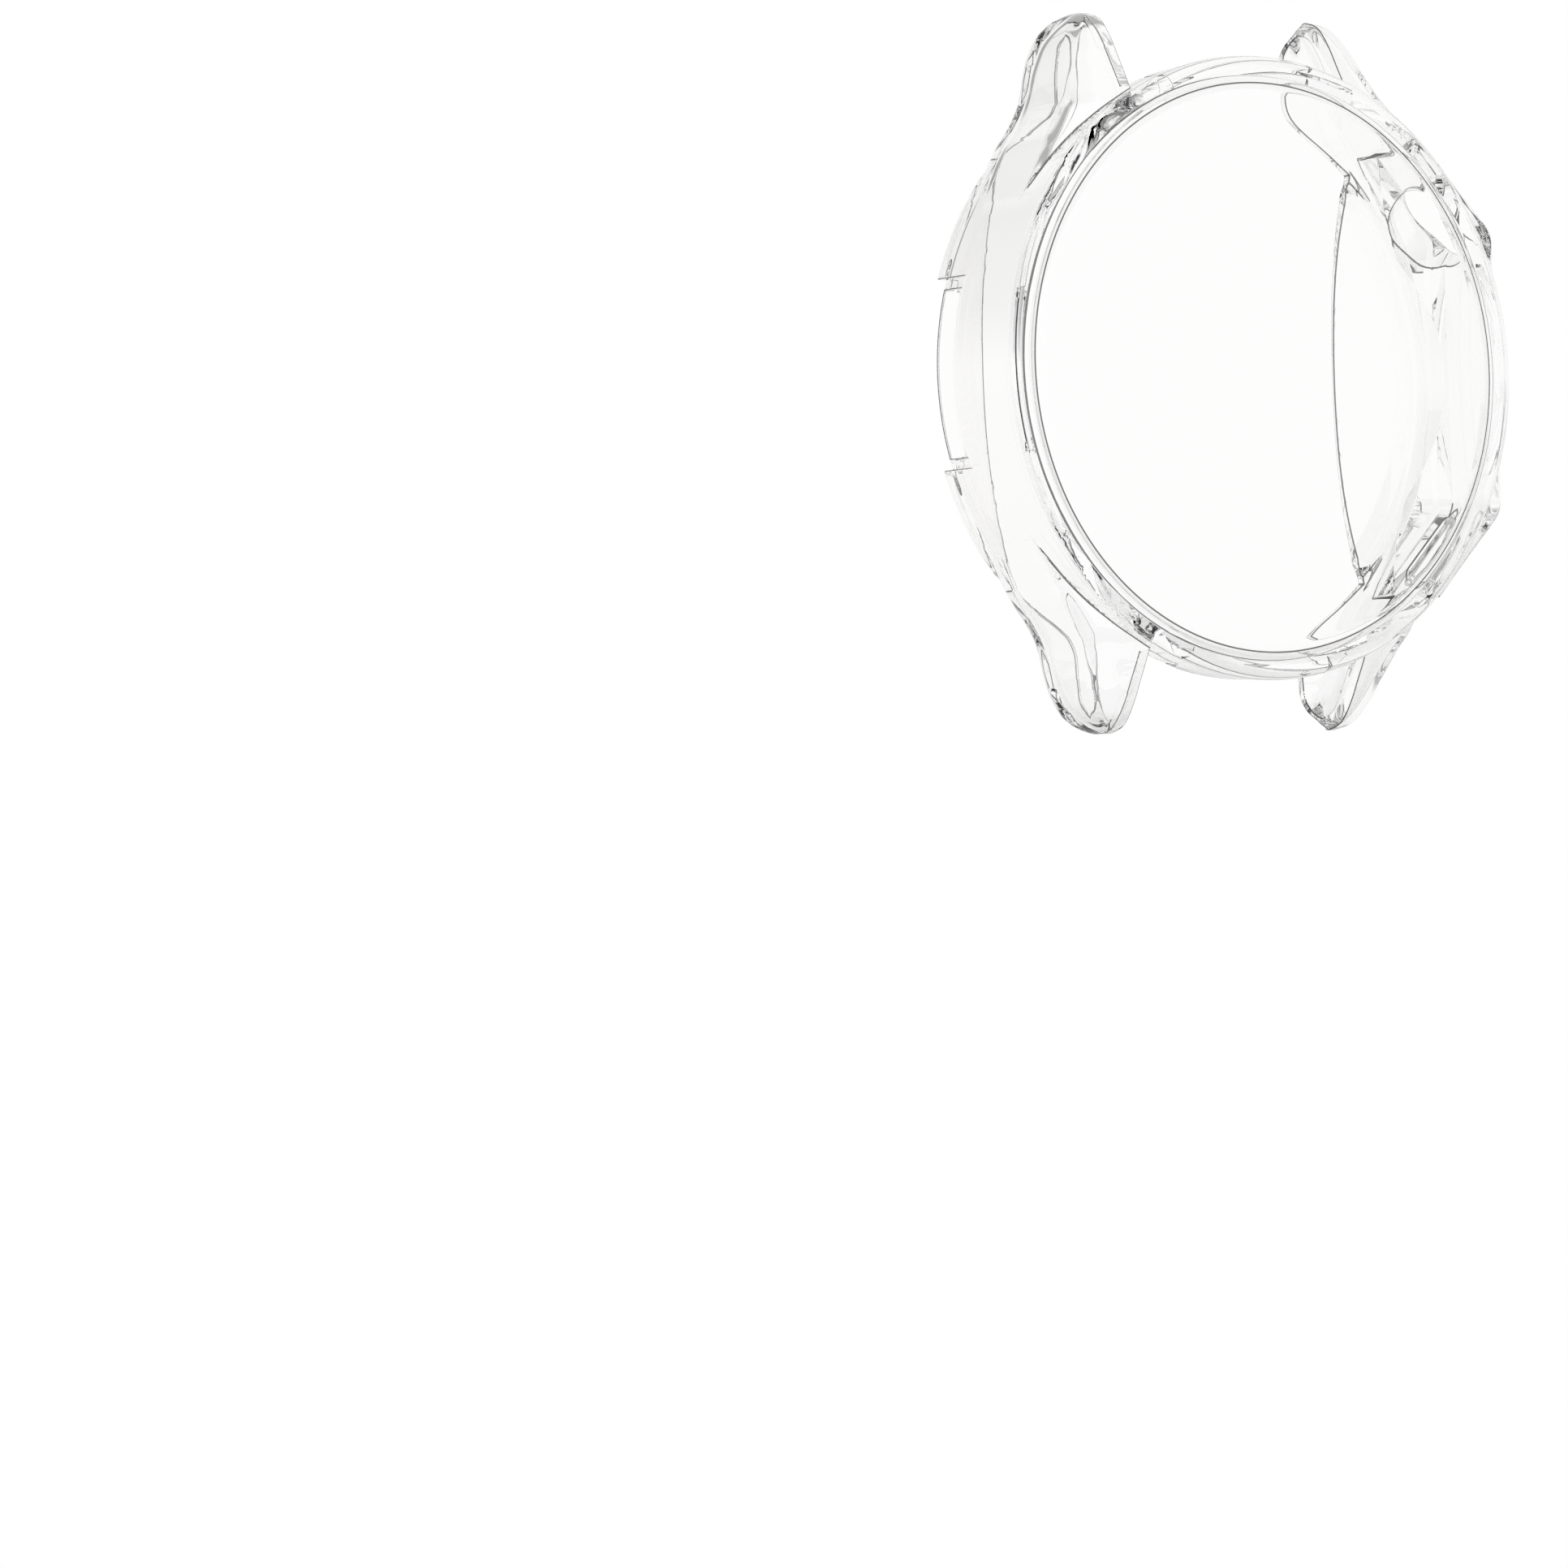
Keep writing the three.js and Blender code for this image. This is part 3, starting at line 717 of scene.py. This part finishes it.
# The second material is painted shade for the soft edges.
case.data.materials.append(clear_plastic("clear_tpu_painted_edge_shade", EDGE_PAINTED_SHADE))
pieces = divided(softened(case))
lugs = [name for name in pieces if name.startswith("lug_guard")]
lips = [name for name in pieces if name.startswith("rear_lip")]
for name in lugs:
    side = 1 if name.startswith("lug_guard_upper") else -1
    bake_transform(pieces[name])
    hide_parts(name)
for name in lips:
    side = "right" if name.startswith("rear_lip_right") else "left"
    strip = int(name[-1])
    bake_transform(pieces[name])
    if strip == MIDDLE_STRIP:
        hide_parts(f"rear_lip_{side}")
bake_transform(pieces["button_cover"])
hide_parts("button_cover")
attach(pieces["case_moulding"], "case_body")
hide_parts("front_window", "bezel_ring", "side_wall_left", "side_wall_right",
            "crown_guard", "button_guard", "strap_skirt_top", "strap_skirt_bottom")

# Camera, fitted to the photograph: azimuth, elevation and roll in degrees, distance and aim in
# millimetres, focal length and picture width in pixels. The frame's origin lies behind the fit's.
AZ, EL, ROLL, DIST, FOCAL, AIM_X, AIM_Z = -34.125, -1.213, -1.944, 657.45, 10218.0, -38.079, -33.017
FRAME_IN_FIT = Vector((0, 0.3, 0))
PICTURE_WIDTH = 1932
SENSOR_WIDTH = 36

az, el, roll = map(math.radians, (AZ, EL, ROLL))
back = Vector((math.sin(az) * math.cos(el), -math.cos(az) * math.cos(el), math.sin(el)))
level = Vector((0, 0, 1)).cross(back).normalized()
upright = back.cross(level)
right = level * math.cos(roll) + upright * math.sin(roll)
up = upright * math.cos(roll) - level * math.sin(roll)
spot = (right * AIM_X + up * AIM_Z + back * DIST - FRAME_IN_FIT) * MM
cam = linked("camera", bpy.data.cameras.new("camera"))
cam.matrix_world = Matrix.Translation(spot) @ Matrix((right, up, back)).transposed().to_4x4()
cam.data.sensor_width = SENSOR_WIDTH
cam.data.lens = FOCAL / PICTURE_WIDTH * SENSOR_WIDTH
cam.data.clip_start = 0.01
bpy.context.scene.camera = cam

# Floor: clear from below, so that it shows only from above, since the camera stands lower than the
# case. It lies low enough for the lower lug guards to swing out over it.
FLOOR = -30.2 * MM
FLOOR_HALF = 3
FLOOR_COLOUR = (0.95, 0.95, 0.95, 1)

floor = linked("floor", bpy.data.meshes.new("floor"))
corners = [(-FLOOR_HALF, -FLOOR_HALF), (FLOOR_HALF, -FLOOR_HALF), (FLOOR_HALF, FLOOR_HALF),
           (-FLOOR_HALF, FLOOR_HALF)]
floor.data.from_pydata([(x, y, FLOOR) for x, y in corners], [], [(0, 1, 2, 3)])
paper = bpy.data.materials.new("floor")
paper.use_nodes = True
tree = paper.node_tree
matt = tree.nodes["Principled BSDF"]
matt.inputs["Base Color"].default_value = FLOOR_COLOUR
matt.inputs["Roughness"].default_value = 0.9
matt.inputs["Specular IOR Level"].default_value = 0.0
geometry = tree.nodes.new("ShaderNodeNewGeometry")
under = tree.nodes.new("ShaderNodeBsdfTransparent")
sides = tree.nodes.new("ShaderNodeMixShader")
tree.links.new(geometry.outputs["Backfacing"], sides.inputs[0])
tree.links.new(matt.outputs[0], sides.inputs[1])
tree.links.new(under.outputs[0], sides.inputs[2])
tree.links.new(sides.outputs[0], tree.nodes["Material Output"].inputs["Surface"])
floor.data.materials.append(paper)

# Light: white all round, but for two things. Dark cards far above and below show only through the
# plastic: CARDS gives the brightness by the height of a ray, from -1 straight down to 1 straight up.
# A soft grey screen on the left, above the case, shows only as a reflection: SCREEN gives how much
# it darkens by the ray's bearing from +Y towards +X in degrees, and SCREEN_RISE by its height.
CARD = 0.15
CARDS = [(-1, CARD), (-0.9, CARD), (-0.8, 1), (0.85, 1), (0.95, CARD)]
SCREEN = [(-180, 0), (-85, 0), (-65, 0.6), (-14, 0.6), (0, 0)]
SCREEN_RISE = [(0, 0), (0.08, 0), (0.3, 1)]

world = bpy.data.worlds.new("world")
bpy.context.scene.world = world
world.use_nodes = True
tree = world.node_tree
tree.nodes.clear()


def value(operation, *inputs):
    node = tree.nodes.new("ShaderNodeMath")
    node.operation = operation
    for socket, item in zip(node.inputs, inputs):
        if isinstance(item, (int, float)):
            socket.default_value = item
        else:
            tree.links.new(item, socket)
    return node.outputs[0]


def shades(factor, stops):
    return ramp_node(tree, factor, [(position, (shade, shade, shade)) for position, shade in stops])


ray = tree.nodes.new("ShaderNodeSeparateXYZ")
tree.links.new(tree.nodes.new("ShaderNodeTexCoord").outputs["Generated"], ray.inputs[0])
turn = value("DIVIDE", value("ARCTAN2", ray.outputs["X"], ray.outputs["Y"]), 2 * math.pi)
cards = shades(value("MULTIPLY_ADD", ray.outputs["Z"], 0.5, 0.5),
               [((height + 1) / 2, shade) for height, shade in CARDS])
screen = value("MULTIPLY",
               shades(value("ADD", turn, 0.5), [((bearing + 180) / 360, s) for bearing, s in SCREEN]),
               shades(ray.outputs["Z"], SCREEN_RISE))
path = tree.nodes.new("ShaderNodeLightPath")
seen_through = value("MULTIPLY", path.outputs["Is Transmission Ray"], value("SUBTRACT", cards, 1))
reflected = value("MULTIPLY", path.outputs["Is Glossy Ray"], screen)
backdrop = tree.nodes.new("ShaderNodeBackground")
backdrop.inputs["Color"].default_value = (1, 1, 1, 1)
tree.links.new(value("SUBTRACT", value("ADD", 1, seen_through), reflected), backdrop.inputs["Strength"])
surface = tree.nodes.new("ShaderNodeOutputWorld")
tree.links.new(backdrop.outputs[0], surface.inputs["Surface"])

scene = bpy.context.scene
scene.view_settings.view_transform = "Standard"
scene.cycles.max_bounces = 24
scene.cycles.transmission_bounces = 24
scene.cycles.glossy_bounces = 12
scene.cycles.transparent_max_bounces = 24
